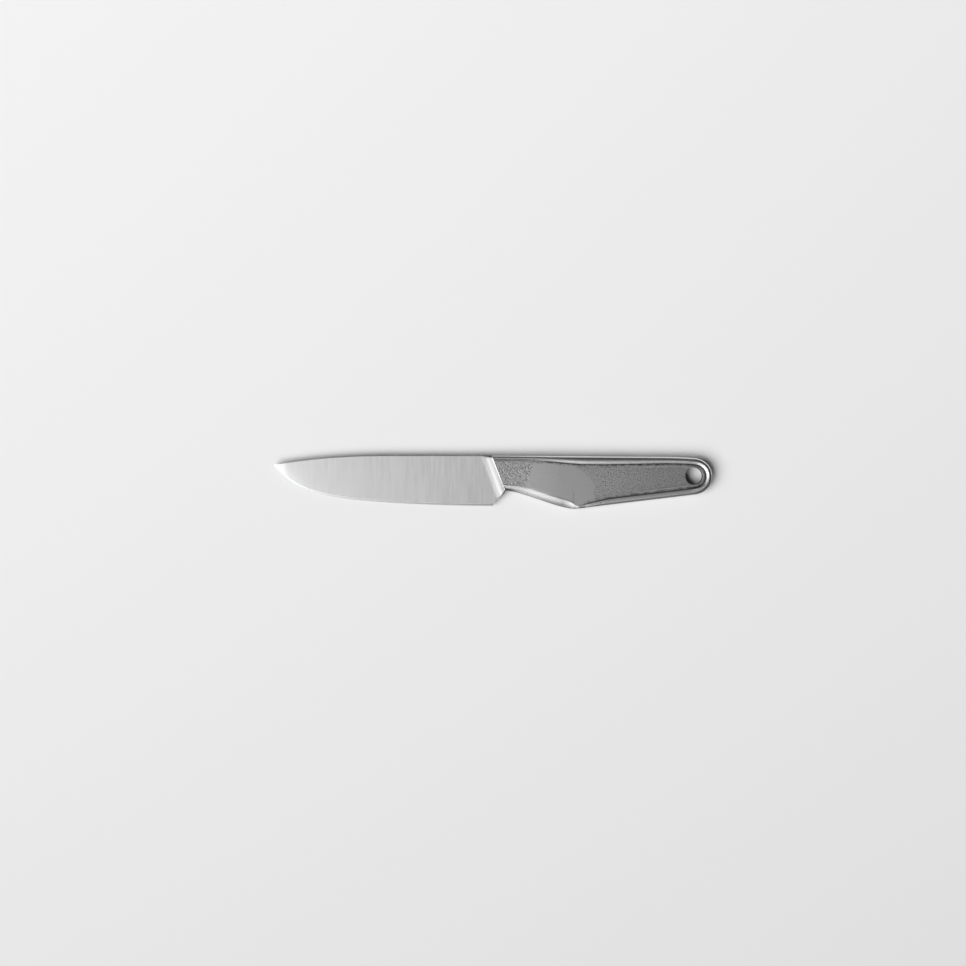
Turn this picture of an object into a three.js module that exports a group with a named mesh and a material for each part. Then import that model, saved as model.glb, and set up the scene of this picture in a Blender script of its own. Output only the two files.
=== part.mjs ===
// A paring knife forged in one piece from steel, lying on its side.
// Millimetres. X runs from the tip to the butt, Y points to the spine, Z is up through the thickness.
// While the pieces are made, X = 0, Y = 0 is where the bolster's rear edge meets the spine,
// and Z = 0 is the middle of the thickness. The last lines set the knife down on Z = 0.
// Blade, bolster, rim and web are the regions the smith forms one after another. Each is a solid
// of its own, and two neighbours take the face they share from the same points.
import * as THREE from "three";

// Blade
const bladeLength = 110; // tip to heel corner
const bladeHeight = 25; // spine down to the heel corner
const heelHeight = 2.8; // bare heel below the bolster
const heelSlant = 1.6; // heel corner in front of the bolster's lower end
const tipDrop = 4.4; // spine down to the tip
const spineCurveLength = 60; // stretch over which the spine curves down to the tip
const spineCurvePower = 2.3;
const edgeSweep = 7.1; // rise of the edge's long shallow curve
const edgeTipPower = 9; // sharpness of the edge's turn up to the tip
const spineThickness = 2.2; // at the bolster
const pointThickness = 1.0; // of the spine near the tip
const shoulderThickness = 0.5; // where the flat grind meets the cutting bevel
const bevelHeight = 1.0;

// Bolster
const bolsterWidth = 5.9; // along the spine
const bolsterFrontLean = 0.357; // run of its front edge along X for each millimetre down
const bolsterRearLean = 0.388; // the same for its rear edge
const bolsterEndRound = 1.5; // round over the two ends of its crown
const bolsterHeelBulge = 0.5; // swell of its lower end past a straight line
const bolsterBulgePower = 4; // keeps the swell near that end
const bolsterRisePower = 2; // the higher, the later the hollow sweep up to the rear edge

// Handle outline
const handleLength = 109.9; // bolster's rear edge at the spine to the butt
const gripHeight = 17.4; // spine down to the start of the finger groove
const grooveLead = 1.2; // drop of the groove over its first third
const bellyFromBolster = 40.6;
const bellyDepth = 26.6; // spine down to the belly
const bellyLead = 1.3; // drop of the groove over its last third
const rearSlope = 0.1185; // rise of the rear edge for each millimetre along X
const spineSlope = 0.0065; // drop of the spine side for each millimetre along X
const spineBendLength = 16; // its last stretch, which bends down towards the butt
const spineBendDrop = 0.5; // drop of that bend below the straight line
const buttRoundLength = 9.05; // the round of the butt, along X
const buttEndDepth = 10.2; // spine line down to the end of the butt
const buttUpperRoundness = 0.55; // 0.55 is close to a quarter circle, more is squarer
const buttLowerRoundness = 0.57;
const buttFade = 0.5; // share of the upper round in which the rim takes on the butt's section

// Handle section
const handleThickness = 6.4; // over the rim
const bolsterDip = 0.8; // bolster's crown below the rim's full height, on each face
const rimRiseStart = 15; // from here the spine side stands out above the web
const rimRiseLength = 30; // stretch over which it grows to its full height
const sideFlat = 2.2; // flat band round the side of the handle
const sideFlatAtBelly = 5;
const bellySideFade = 18; // behind the groove, back to the narrow band
const rimWidthAtBolster = 2.5;
const rimWidthAtSpine = 4.1; // at its widest
const rimFlareStart = 19; // the spine side widens from here
const rimFlareLength = 30;
const rimWidthAtButt = 3.2;
const rimWidthAtRear = 3.5; // along the rear edge
const rimWidthAtBelly = 1;
const rearFlareLength = 20; // from the end of the groove to the full width
const rearRiseLength = 14; // from there to the full height
const grooveRound = 4.2; // width of the round along the finger groove
const grooveRoundAtBolster = 3.3;
const grooveRunOut = 2.6; // the round ends this far behind the belly
const grooveTaperLength = 8;
const grooveFadeLength = 7; // from the round's section to the rear edge's
const spineCrestShare = 0.5; // outer round, as a part of the rim's width
const buttCrestShare = 0.5;
const rearCrestShare = 0.6;
const grooveCrestShare = 0.9;
const spineLandShare = 0.12; // flat crest, as a part of the rim's width
const buttLandShare = 0.03;
const rearLandShare = 0.2;
const grooveLandShare = 0.05;
const rimRoundPower = 2; // 2 is a quarter of an ellipse
const rearRoundPower = 2.8; // above 2 the round is boxier
const grooveRoundPower = 1.3; // nearer 1 it is closer to a straight slope
const leanFadeLength = 12; // sections turn from the bolster's lean to square over this stretch
const webRecess = 0.4; // web below the rim's full height, on each face
const webRecessAtBolster = 1;
const webRiseLength = 34; // from the bolster to where the web is at its full thickness

// Hanging hole
const holeDiameter = 8.6;
const holeFromButt = 9.2; // butt end to the hole's centre
const holeLand = 8; // stretch of web in front of the hole that is meshed with it

// Fineness of the facets
const bladeSteps = 44;
const bladeStepPower = 1.5; // stations draw together towards the tip
const bolsterStepsAcross = 11;
const bolsterStepsDown = 18;
const grooveSteps = 18;
const rearSteps = 24;
const buttSteps = 8; // in each half of the round
const roundSteps = 4; // in the rim's outer round
const holeSteps = 28;

// Places worked out from the sizes above
const bolsterHeight = bladeHeight - heelHeight;
const bolsterHeelX = bolsterFrontLean * bolsterHeight - bolsterWidth;
const heelX = bolsterHeelX - heelSlant;
const tipX = heelX - bladeLength;
const spineCurveStart = tipX + spineCurveLength;
const edgeTipRise = bladeHeight - tipDrop - edgeSweep;
const runOutShare = bolsterHeight / (bladeHeight - bevelHeight); // bolster's lower end, from spine to bevel
const gripX = bolsterRearLean * gripHeight;
const buttStart = handleLength - buttRoundLength;
const spineBendStart = buttStart - spineBendLength;
const spineEndSlope = spineSlope + (2 * spineBendDrop) / spineBendLength;
const grooveEnd = bellyFromBolster + grooveRunOut;
const crestHalf = handleThickness / 2;
const bolsterHalf = crestHalf - bolsterDip;
const holeRadius = holeDiameter / 2;
const holeX = handleLength - holeFromButt;
const landStart = holeX - holeRadius - holeLand;
const stationCount = grooveSteps + rearSteps;

const mix = THREE.MathUtils.lerp;
const smooth = THREE.MathUtils.smoothstep;

// Rises from 0 at one end of a stretch to 1 at the other, steeply at first and level at last.
function swift(x, from, to) {
  const left = THREE.MathUtils.clamp((to - x) / (to - from), 0, 1);
  return 1 - left * left;
}

// A solid that is alike above and below the middle plane, from points { x, y, half } seen from above
// and the triangles between them. Points in one place become one, and a half thickness of 0 is an edge.
function slab(points, triangles) {
  const keys = new Map();
  const unique = [];
  const indexOf = points.map((point) => {
    const key = `${point.x.toFixed(4)} ${point.y.toFixed(4)}`;
    if (!keys.has(key)) {
      keys.set(key, unique.length);
      unique.push(point);
    }
    return keys.get(key);
  });

  const positions = [];
  const addVertex = (point, z) => positions.push(point.x, point.y, z) / 3 - 1;
  const upper = unique.map((point) => addVertex(point, point.half));
  const lower = unique.map((point, i) => (point.half > 0 ? addVertex(point, -point.half) : upper[i]));

  const indices = [];
  const addFace = (a, b, c) => {
    if (a !== b && b !== c && c !== a) indices.push(a, b, c);
  };

  const edges = new Map();
  for (const triangle of triangles) {
    const [a, b, c] = facingUp(unique, triangle.map((i) => indexOf[i]));
    if (a === b || b === c || c === a) continue;
    addFace(upper[a], upper[b], upper[c]);
    addFace(lower[c], lower[b], lower[a]);
    for (const [from, to] of [[a, b], [b, c], [c, a]]) edges.set(`${from} ${to}`, [from, to]);
  }
  for (const [from, to] of edges.values()) {
    if (edges.has(`${to} ${from}`)) continue;
    addFace(lower[from], lower[to], upper[to]);
    addFace(lower[from], upper[to], upper[from]);
  }

  const geometry = new THREE.BufferGeometry();
  geometry.setAttribute("position", new THREE.Float32BufferAttribute(positions, 3));
  geometry.setIndex(indices);
  geometry.computeVertexNormals();
  return geometry;
}

// The triangle's corners in the order that runs anticlockwise seen from above.
function facingUp(points, [a, b, c]) {
  const [p, q, r] = [points[a], points[b], points[c]];
  const area = (q.x - p.x) * (r.y - p.y) - (r.x - p.x) * (q.y - p.y);
  return area < 0 ? [a, c, b] : [a, b, c];
}

// Two triangles for each cell of a grid that is stored row by row.
function gridTriangles(rows, columns) {
  const triangles = [];
  for (let row = 0; row + 1 < rows; row++) {
    for (let column = 0; column + 1 < columns; column++) {
      const first = row * columns + column;
      const next = first + columns;
      triangles.push([first, next, next + 1], [first, next + 1, first + 1]);
    }
  }
  return triangles;
}

// Height of a cubic curve over x whose four control heights are evenly spaced between two ends.
function cubicHeight(x, from, to, heights) {
  const t = (x - from) / (to - from);
  const s = 1 - t;
  const [a, b, c, d] = heights;
  return s * s * s * a + 3 * s * s * t * b + 3 * s * t * t * c + t * t * t * d;
}

function spineY(x) {
  const share = Math.max(0, (spineCurveStart - x) / spineCurveLength);
  return -tipDrop * share ** spineCurvePower;
}

function edgeY(x) {
  const share = (heelX - x) / bladeLength;
  return -bladeHeight + edgeSweep * share ** 2 + edgeTipRise * share ** edgeTipPower;
}

// Half thickness of the flat-ground blade, at a share of the way from the spine to the bevel's shoulder.
function bladeHalf(stationShare, depthShare) {
  const spineHalf = mix(spineThickness, pointThickness, stationShare) / 2;
  return mix(spineHalf, shoulderThickness / 2, depthShare);
}

// One station of the blade, at a share of its length from the bolster's front to the tip. Its points are
// the spine, the level where the bolster runs out, the bevel's shoulder and the cutting edge.
function bladeStation(share) {
  const spineX = mix(-bolsterWidth, tipX, share);
  const edgeX = mix(heelX, tipX, share);
  const spine = new THREE.Vector2(spineX, spineY(spineX));
  const edge = new THREE.Vector2(edgeX, edgeY(edgeX));
  const height = spine.y - edge.y;
  const bevelShare = bevelHeight < height / 2 ? bevelHeight / height : 0.5;
  const shoulder = edge.clone().lerp(spine, bevelShare);
  const runOut = spine.clone().lerp(shoulder, runOutShare);
  if (share === 0) {
    runOut.x = bolsterHeelX;
    shoulder.x = mix(heelX, bolsterHeelX, bevelHeight / heelHeight);
  }
  const solid = share < 1 ? 1 : 0;
  return [
    { x: spine.x, y: spine.y, half: solid * bladeHalf(share, 0) },
    { x: runOut.x, y: runOut.y, half: solid * bladeHalf(share, runOutShare) },
    { x: shoulder.x, y: shoulder.y, half: solid * bladeHalf(share, 1) },
    { x: edge.x, y: edge.y, half: 0 },
  ];
}

function bladeGeometry() {
  const rows = [];
  for (let i = 0; i <= bladeSteps; i++) {
    rows.push(bladeStation(1 - (1 - i / bladeSteps) ** bladeStepPower));
  }
  return slab(rows.flat(), gridTriangles(rows.length, rows[0].length));
}

// Rise of a rounded end, from 0 at the end itself to 1 where the round is over.
function endRound(distance, radius) {
  const left = Math.max(0, 1 - distance / radius);
  return Math.sqrt(1 - left * left);
}

// The bolster sweeps up from the blade's section at its front to a crown along its rear edge.
function bolsterGeometry() {
  const rearLength = Math.hypot(gripX, gripHeight);
  const points = [];
  for (let i = 0; i <= bolsterStepsAcross; i++) {
    const across = i / bolsterStepsAcross;
    const rise = across ** bolsterRisePower;
    for (let j = 0; j <= bolsterStepsDown; j++) {
      const down = 0.5 - 0.5 * Math.cos((Math.PI * j) / bolsterStepsDown);
      const bow = 4 * across * (1 - across) * down ** bolsterBulgePower;
      const swell = bow * bolsterHeelBulge * Math.SQRT1_2;
      const frontX = mix(-bolsterWidth, bolsterHeelX, down);
      const rounded = Math.min(
        endRound(down * rearLength, bolsterEndRound),
        endRound((1 - down) * rearLength, bolsterEndRound),
      );
      const crown = mix(sideFlat / 2, bolsterHalf, rounded);
      points.push({
        x: mix(frontX, gripX * down, across) + swell,
        y: -mix(bolsterHeight, gripHeight, across) * down - swell,
        half: mix(bladeHalf(0, runOutShare * down), crown, rise),
      });
    }
  }
  return slab(points, gridTriangles(bolsterStepsAcross + 1, bolsterStepsDown + 1));
}

function handleTopY(x) {
  const bend = Math.max(0, (x - spineBendStart) / spineBendLength);
  return -spineSlope * x - spineBendDrop * bend ** 2;
}

function handleBottomY(x) {
  if (x >= bellyFromBolster) return -bellyDepth + rearSlope * (x - bellyFromBolster);
  const heights = [-gripHeight, -gripHeight - grooveLead, -bellyDepth + bellyLead, -bellyDepth];
  return cubicHeight(x, gripX, bellyFromBolster, heights);
}

function webHalf(x) {
  return crestHalf - mix(webRecessAtBolster, webRecess, smooth(x, 0, webRiseLength));
}

// Position along the handle of a station, counted from the bolster, on a side that starts at startX.
function stationX(i, startX) {
  if (i <= grooveSteps) return mix(startX, bellyFromBolster, i / grooveSteps);
  return mix(bellyFromBolster, buttStart, (i - grooveSteps) / rearSteps);
}

// Each stretch of the rim gives its stations as border point, width, outer round, flat crest and heights.
function spineStations() {
  const stations = [];
  for (let i = 0; i <= stationCount; i++) {
    const x = stationX(i, 0);
    const flareEnd = rimFlareStart + rimFlareLength;
    const flare = smooth(x, rimFlareStart, flareEnd);
    const fullWidth = mix(rimWidthAtSpine, rimWidthAtButt, smooth(x, flareEnd, buttStart));
    stations.push({
      border: new THREE.Vector2(x, handleTopY(x)),
      width: mix(rimWidthAtBolster, fullWidth, flare),
      crestShare: spineCrestShare,
      landShare: spineLandShare,
      roundPower: rimRoundPower,
      crest: mix(webHalf(x), crestHalf, smooth(x, rimRiseStart, rimRiseStart + rimRiseLength)),
      side: sideFlat / 2,
      lean: 1 - smooth(x, 0, leanFadeLength),
    });
  }
  return stations;
}

function buttStations() {
  const end = new THREE.Vector2(handleLength, -buttEndDepth);
  const top = new THREE.Vector2(buttStart, handleTopY(buttStart));
  const bottom = new THREE.Vector2(buttStart, handleBottomY(buttStart));
  const upperReach = buttUpperRoundness * buttRoundLength;
  const lowerReach = buttLowerRoundness * buttRoundLength;
  const upperRound = new THREE.CubicBezierCurve(
    top,
    new THREE.Vector2(buttStart + upperReach, top.y - spineEndSlope * upperReach),
    new THREE.Vector2(handleLength, mix(end.y, top.y, buttUpperRoundness)),
    end,
  );
  const lowerRound = new THREE.CubicBezierCurve(
    end,
    new THREE.Vector2(handleLength, mix(end.y, bottom.y, buttLowerRoundness)),
    new THREE.Vector2(buttStart + lowerReach, bottom.y + rearSlope * lowerReach),
    bottom,
  );
  const stations = [];
  for (let i = 1; i < 2 * buttSteps; i++) {
    const t = i / buttSteps;
    const fromSpine = smooth(t, 0, buttFade);
    const toRear = smooth(t, 1, 2);
    stations.push({
      border: t < 1 ? upperRound.getPoint(t) : lowerRound.getPoint(t - 1),
      width: mix(rimWidthAtButt, rimWidthAtRear, toRear),
      crestShare: mix(mix(spineCrestShare, buttCrestShare, fromSpine), rearCrestShare, toRear),
      landShare: mix(mix(spineLandShare, buttLandShare, fromSpine), rearLandShare, toRear),
      roundPower: mix(rimRoundPower, rearRoundPower, toRear),
      crest: crestHalf,
      side: sideFlat / 2,
      lean: 0,
    });
  }
  return stations;
}

function bellyStations() {
  const stations = [];
  for (let i = stationCount; i >= 0; i--) {
    const x = stationX(i, gripX);
    const border = new THREE.Vector2(x, handleBottomY(x));
    const flare = swift(x, grooveEnd, grooveEnd + rearFlareLength);
    const groove = swift(x, grooveEnd, grooveEnd - grooveTaperLength);
    const behind = x >= grooveEnd;
    const fromBolster = smooth(x, gripX, gripX + leanFadeLength);
    const fullWidth = behind ? rimWidthAtRear : mix(grooveRoundAtBolster, grooveRound, fromBolster);
    const round = 1 - smooth(x, grooveEnd, grooveEnd + grooveFadeLength);
    const steep = behind ? 1 - smooth(x, grooveEnd, grooveEnd + bellySideFade) : 1 - groove;
    stations.push({
      border,
      width: mix(rimWidthAtBelly, fullWidth, behind ? flare : groove),
      crestShare: mix(rearCrestShare, grooveCrestShare, round),
      landShare: mix(rearLandShare, grooveLandShare, round),
      roundPower: mix(rearRoundPower, grooveRoundPower, round),
      crest: mix(webHalf(x), crestHalf, swift(x, grooveEnd, grooveEnd + rearRiseLength)),
      side: mix(sideFlat, sideFlatAtBelly, steep) / 2,
      lean: fromBolster - 1,
    });
  }
  return stations;
}

// All stations of the rim from the bolster along the spine, round the butt and back along the belly,
// with the direction from the border into the handle. At the bolster it follows the bolster's lean.
function rimStations() {
  const stations = [...spineStations(), ...buttStations(), ...bellyStations()];
  const leanDirection = new THREE.Vector2(bolsterRearLean, -1).normalize();
  stations.forEach((station, i) => {
    const before = stations[Math.max(i - 1, 0)].border;
    const after = stations[Math.min(i + 1, stations.length - 1)].border;
    const along = after.clone().sub(before).normalize();
    const square = new THREE.Vector2(along.y, -along.x);
    const leaning = leanDirection.clone().multiplyScalar(Math.sign(station.lean));
    station.inward = square.lerp(leaning, Math.abs(station.lean)).normalize();
    station.foot = station.border.clone().addScaledVector(station.inward, station.width);
  });
  return stations;
}

// The rim's section from the border inwards: outer round, flat crest, slope down to the web.
function rimSection(station) {
  const footHalf = webHalf(station.foot.x);
  const points = [];
  const addPoint = (share, half) => {
    const place = station.border.clone().addScaledVector(station.inward, share * station.width);
    points.push({ x: place.x, y: place.y, half });
  };
  for (let k = 0; k <= roundSteps; k++) {
    const angle = (Math.PI / 2) * (k / roundSteps);
    const left = k < roundSteps ? Math.cos(angle) ** (2 / station.roundPower) : 0;
    const risen = Math.sin(angle) ** (2 / station.roundPower);
    addPoint(station.crestShare * (1 - left), mix(station.side, station.crest, risen));
  }
  const landEnd = station.crestShare + station.landShare;
  addPoint(landEnd, station.crest);
  addPoint(mix(landEnd, 1, 0.5), mix(station.crest, footHalf, 0.5));
  addPoint(1, footHalf);
  return points;
}

function rimGeometry(stations) {
  const sections = stations.map(rimSection);
  return slab(sections.flat(), gridTriangles(sections.length, sections[0].length));
}

// Height at which a line of points that starts in front of the hole passes the hole's centre.
function heightAtHole(line) {
  const i = line.findIndex(({ x }) => x >= holeX);
  const share = (holeX - line[i - 1].x) / (line[i].x - line[i - 1].x);
  return mix(line[i - 1].y, line[i].y, share);
}

// The hole sits midway between the feet of the rim on its two sides.
function holeCentre(stations) {
  const feet = stations.map(({ foot }) => foot);
  const upper = heightAtHole(feet);
  const lower = heightAtHole(feet.reverse());
  return new THREE.Vector2(holeX, (upper + lower) / 2);
}

// The web fills the rim from foot to foot. Strips run across it as far as the land that holds the hole.
function webGeometry(stations) {
  const points = stations.map(({ foot }) => ({ x: foot.x, y: foot.y, half: webHalf(foot.x) }));
  const last = points.length - 1;
  const firstLand = points.findIndex((point, i) => Math.min(point.x, points[last - i].x) >= landStart);
  const triangles = [];
  for (let i = 0; i < firstLand; i++) {
    triangles.push([i, i + 1, last - i], [i + 1, last - i - 1, last - i]);
  }

  const outline = stations.slice(firstLand, last - firstLand + 1).map(({ foot }) => foot);
  const centre = holeCentre(stations);
  const hole = new THREE.EllipseCurve(centre.x, centre.y, holeRadius, holeRadius);
  const holeRing = hole.getPoints(holeSteps).slice(1);
  points.push(...holeRing.map(({ x, y }) => ({ x, y, half: webHalf(x) })));
  const placeOf = (i) => (i < outline.length ? firstLand + i : last + 1 + i - outline.length);
  for (const triangle of THREE.ShapeUtils.triangulateShape(outline, [holeRing])) {
    triangles.push(triangle.map(placeOf));
  }
  return slab(points, triangles);
}

function piece(name, geometry, colour, roughness) {
  const material = new THREE.MeshStandardMaterial({ color: colour, roughness, metalness: 1 });
  const mesh = new THREE.Mesh(geometry, material);
  mesh.name = name;
  return mesh;
}

const stations = rimStations();
const knife = new THREE.Group();
knife.name = "paring_knife";
knife.add(
  piece("blade", bladeGeometry(), 0xc4c5c6, 0.32),
  piece("bolster", bolsterGeometry(), 0xd2d2d3, 0.25),
  piece("handle_rim", rimGeometry(stations), 0xa9a9aa, 0.4),
  piece("handle_web", webGeometry(stations), 0x8b8b8c, 0.6),
);

// Set down on its side: the origin is under the middle of the knife.
const box = new THREE.Box3().setFromObject(knife);
const middle = box.getCenter(new THREE.Vector3());
knife.position.set(-middle.x, -middle.y, -box.min.z);

export default knife;
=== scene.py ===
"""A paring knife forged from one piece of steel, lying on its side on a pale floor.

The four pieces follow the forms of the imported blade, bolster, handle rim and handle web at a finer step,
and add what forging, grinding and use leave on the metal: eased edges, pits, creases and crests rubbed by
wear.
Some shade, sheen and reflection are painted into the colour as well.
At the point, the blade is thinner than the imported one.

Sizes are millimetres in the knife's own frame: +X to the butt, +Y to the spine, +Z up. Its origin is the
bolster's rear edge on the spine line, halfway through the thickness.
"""
import math

import bpy
import numpy as np
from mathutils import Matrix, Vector, kdtree, noise


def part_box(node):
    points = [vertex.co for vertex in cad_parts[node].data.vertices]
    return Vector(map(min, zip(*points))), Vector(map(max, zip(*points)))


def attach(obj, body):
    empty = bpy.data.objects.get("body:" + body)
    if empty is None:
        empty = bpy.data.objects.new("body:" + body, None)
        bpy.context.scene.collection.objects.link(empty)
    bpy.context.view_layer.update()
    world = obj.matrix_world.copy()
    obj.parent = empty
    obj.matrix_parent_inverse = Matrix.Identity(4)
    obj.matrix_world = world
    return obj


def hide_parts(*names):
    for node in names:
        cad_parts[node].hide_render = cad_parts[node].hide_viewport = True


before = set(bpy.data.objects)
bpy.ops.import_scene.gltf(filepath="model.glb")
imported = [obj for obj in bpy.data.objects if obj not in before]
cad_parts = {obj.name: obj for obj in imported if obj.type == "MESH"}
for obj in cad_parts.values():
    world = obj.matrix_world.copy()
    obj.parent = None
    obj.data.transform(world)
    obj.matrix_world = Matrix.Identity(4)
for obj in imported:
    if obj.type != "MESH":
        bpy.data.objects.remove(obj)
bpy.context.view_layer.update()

MM = 0.001
SHARP_ANGLE = math.radians(40)  # faces that meet at more than this keep a sharp edge

# Blade
BLADE_LENGTH = 110  # tip to heel corner
BLADE_HEIGHT = 25  # spine down to the heel corner
HEEL_HEIGHT = 2.8  # bare heel below the bolster
HEEL_SLANT = 1.6  # heel corner in front of the bolster's lower end
TIP_DROP = 4.4  # spine down to the tip
SPINE_CURVE_LENGTH = 60  # stretch over which the spine curves down to the tip
SPINE_CURVE_POWER = 2.3
EDGE_SWEEP = 7.1  # rise of the edge's long shallow curve
EDGE_TIP_POWER = 9  # sharpness of the edge's turn up to the tip
SPINE_THICKNESS = 2.2  # at the bolster
POINT_THICKNESS = 1.0  # of the spine near the tip
SHOULDER_THICKNESS = 0.5  # where the flat grind meets the cutting bevel
BEVEL_HEIGHT = 1.0
BEVEL_LIMIT = 0.5  # most of the blade's height that the bevel takes up
GRIND_SLOPE = 0.075  # most that the blade thickens up to the spine, for each millimetre of its height
EDGE_FLAT = 0.03  # thickness left at the cutting edge
SPINE_EASE = 0.2  # radius of the spine's corners
BLADE_BEND_FADE = 12  # the bend of the bolster's front edge fades out of the blade over this stretch
BEVEL_POLISH = (0.97, 1.06)  # where polish sets in: 1 is the bevel's shoulder and 2 the edge

# Bolster
BOLSTER_WIDTH = 5.9  # along the spine
BOLSTER_FRONT_LEAN = 0.357  # run of its front edge along X for each millimetre down
BOLSTER_REAR_LEAN = 0.388  # the same for its rear edge
BOLSTER_END_ROUND = 1.5  # round over the two ends of its crown
BOLSTER_HEEL_BULGE = 0.5  # swell of its lower end past a straight line
BOLSTER_BULGE_POWER = 4  # keeps the swell near that end
BOLSTER_RISE_POWER = 2  # the higher, the later the hollow sweep up to the rear edge
BOLSTER_REAR_EASE = 0.22  # radius of its rear edge
BOLSTER_FIRST_POLISH = 0.86  # share of the polish that sets in at the blade
BOLSTER_FIRST_RISE = (0, 0.35)  # shares of the way from the blade to the handle
BOLSTER_SECOND_RISE = (0.5, 0.75)
BOLSTER_REAR_FALL = (0.86, 0.95)
BOLSTER_REAR_LOSS = 0.46  # share of the polish that is lost along the rear edge, which paints a highlight there

# Handle outline
HANDLE_LENGTH = 109.9  # bolster's rear edge at the spine to the butt
HANDLE_THICKNESS = 6.4  # over the rim
GRIP_HEIGHT = 17.4  # spine down to the start of the finger groove
GROOVE_LEAD = 1.2  # drop of the groove over its first third
BELLY_FROM_BOLSTER = 40.6
BELLY_DEPTH = 26.6  # spine down to the belly
BELLY_LEAD = 1.3  # drop of the groove over its last third
REAR_SLOPE = 0.1185  # rise of the rear edge for each millimetre along X
SPINE_SLOPE = 0.0065  # drop of the spine side for each millimetre along X
SPINE_BEND_LENGTH = 16  # its last stretch, which bends down towards the butt
SPINE_BEND_DROP = 0.5  # drop of that bend below the straight line
BUTT_ROUND_LENGTH = 9.05  # the round of the butt, along X
BUTT_END_DEPTH = 10.2  # spine line down to the end of the butt
BUTT_UPPER_ROUNDNESS = 0.55  # 0.55 is close to a quarter circle, more is squarer
BUTT_LOWER_ROUNDNESS = 0.57
BUTT_FADE = 0.5  # share of the upper round in which the rim takes on the butt's section

# Handle rim
SIDE_FLAT = 2.2  # flat band round the side of the handle
SIDE_FLAT_AT_BELLY = 5
BELLY_SIDE_FADE = 18  # behind the groove, back to the narrow band
BOLSTER_DIP = 0.8  # bolster's crown below the rim's full height, on each face
RIM_RISE_START = 15  # from here the spine side stands out above the web
RIM_RISE_LENGTH = 30  # stretch over which it grows to its full height
RIM_WIDTH_AT_BOLSTER = 2.5
RIM_WIDTH_AT_SPINE = 4.1  # at its widest
RIM_FLARE_START = 19  # the spine side widens from here
RIM_FLARE_LENGTH = 30
RIM_WIDTH_AT_BUTT = 3.2
RIM_WIDTH_AT_REAR = 3.5  # along the rear edge
RIM_WIDTH_AT_BELLY = 1
REAR_FLARE_LENGTH = 20  # from the end of the groove to the full width
REAR_RISE_LENGTH = 14  # from the end of the groove to the full height
GROOVE_ROUND = 4.2  # width of the round along the finger groove
GROOVE_ROUND_AT_BOLSTER = 3.3
GROOVE_RUN_OUT = 2.6  # the round ends this far behind the belly
GROOVE_TAPER_LENGTH = 8
GROOVE_FADE_LENGTH = 7  # from the round's section to the rear edge's
SPINE_CREST_SHARE = 0.5  # outer round, as a part of the rim's width
BUTT_CREST_SHARE = 0.5
REAR_CREST_SHARE = 0.6
GROOVE_CREST_SHARE = 0.9
SPINE_LAND_SHARE = 0.12  # flat crest, as a part of the rim's width
BUTT_LAND_SHARE = 0.03
REAR_LAND_SHARE = 0.2
GROOVE_LAND_SHARE = 0.05
RIM_ROUND_POWER = 2  # 2 is a quarter of an ellipse
REAR_ROUND_POWER = 2.8  # above 2 the round is boxier
GROOVE_ROUND_POWER = 1.3  # nearer 1 it is closer to a straight slope
RIM_SLOPE_EASE = 0.35  # how far the slope down to the web is an S and not a straight line
LEAN_FADE_LENGTH = 12  # sections turn from the bolster's lean to square over this stretch

# Handle web
WEB_RECESS = 0.4  # web below the rim's full height, on each face
WEB_RECESS_AT_BOLSTER = 1
WEB_RISE_LENGTH = 34  # from the bolster to where the web is at its full thickness
HOLE_DIAMETER = 8.6
HOLE_FROM_BUTT = 9.2  # butt end to the hole's centre
HOLE_LAND = 8  # stretch of web in front of the hole that is meshed with it
HOLE_EASE = 0.2  # radius of the hole's edge
BORE_REACH = 0.01  # what is nearer to the hole than this belongs to its wall

# Creases where the rim meets the web, darkened with painted shade
CREASE_STEP = (0.03, 0.25)  # heights of the rim over the web between which the crease sets in
CREASE_SHARE = (0.84, 1)  # across the rim, from 0 at the side to 1 at its foot
CREASE_REACH = 0.5  # on the web, from the rim's foot
CREASE_SHADE_AT_BELLY = 0.15
RIM_CREASE_SHADE = 0.9  # along the spine side and round the butt
WEB_CREASE_SHADE = 0.7
SHADED_CREASE_Y = (-14, -6)  # from the belly's creases to the spine side's
SHADED_CREASE_X = (96, 102)  # and to the butt's

# Noise on the forged skin: coarse size, fine size and the share of the fine noise
RIM_WAVES = (2.6, 0.9, 0.5)
PATCH_OUTLINE = (2.4, 0.9, 0.6)
WEB_SPECKLE = (0.95, 0.5, 0.7)

# Skin of the rim. Shares across it run from 0 at the side to 1 at its foot.
RIM_SEEDS = (11.3, 23.7)  # of the upper and the lower face
WAVE_DEPTH = 0.005
RIM_PIT_SIZE = 0.9
RIM_PIT_LEVEL = 0.42  # the higher, the fewer pits
PIT_RISE = 0.25  # from a pit's border to its floor, in the noise it is made from
RIM_PIT_SHARE = 0.5  # depth of the rim's pits, as a part of the web's
PIT_DULLING = 0.6
RIM_TOP = ((0, 0.3), (0.9, 1))  # shares at which a mark sets in and ends
BUTT_BAND = ((0.3, 0.5), (0.75, 0.95))
GROOVE_OUTER = ((0.1, 0.25), (0.3, 0.5))
GROOVE_CORNER_SHARE = (0.25, 0.5)
FRONT_SLOPE_SHARE = (0.55, 0.7)
SIDE_REACH = (0.3, 1)  # in from the border
BUTT_LINE_FROM_SIDE = 1.1
BUTT_LINE_WIDTH = 0.35
SPINE_SIDE_Y = (-13, -8)
REAR_SIDE_X = (41, 46)
GROOVE_PITS_X = (28, 33)
GROOVE_CORNER_LENGTH = (1, 6)  # behind the start of the groove
FRONT_SLOPE_X = (22, 46)
BUTT_X = (97, 102)
LOWER_BUTT_DEPTH = (11, 14)
RIM_PIT_STAIN = 0.35
# darker along the outer side of the rear edge
REAR_SIDE_DARKENING = 0.5
# painted shade over the groove's round, dimming its highlight
GROOVE_SHADE = 0.36
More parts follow.
